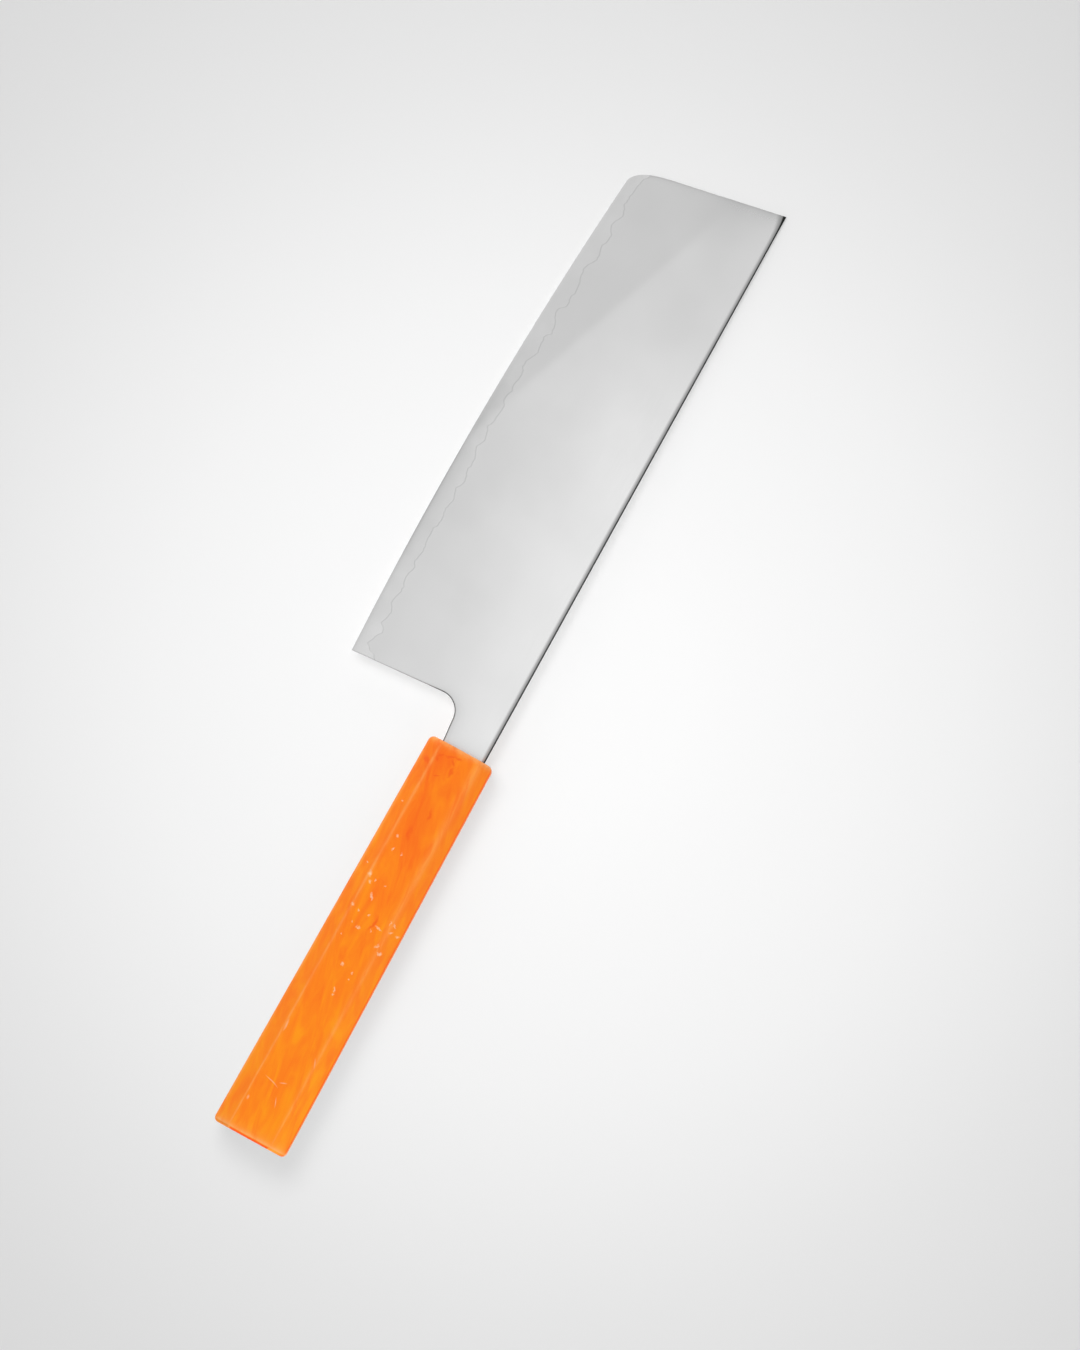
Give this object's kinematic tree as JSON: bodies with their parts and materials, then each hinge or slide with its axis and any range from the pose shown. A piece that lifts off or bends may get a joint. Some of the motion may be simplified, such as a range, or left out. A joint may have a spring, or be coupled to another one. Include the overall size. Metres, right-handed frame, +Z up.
{
  "type": "nakiri knife",
  "caption": "Straight-spined vegetable knife lying on its side: laminated wedge-ground steel blade with a wavy cladding line, octagonal marbled plastic handle.",
  "frame": {"origin": "on the table, under the middle of the lying knife's bounding box", "axes": "+X along the knife from butt to tip, +Y across it from spine to cutting edge, +Z up from the table"},
  "size_m": [0.3176, 0.0564, 0.0247],
  "materials": {
    "core_steel": "fine satin, hardened core steel",
    "cladding_steel": "fine satin, stainless cladding",
    "adhesive": "cured adhesive",
    "handle_plastic": "marbled orange plastic, sanded to a soft sheen"
  },
  "bodies": {
    "root": {"core_steel": "core_steel", "upper_cladding": "cladding_steel", "lower_cladding": "cladding_steel", "tang_adhesive": "adhesive", "handle": "handle_plastic"}
  },
  "joints": []
}
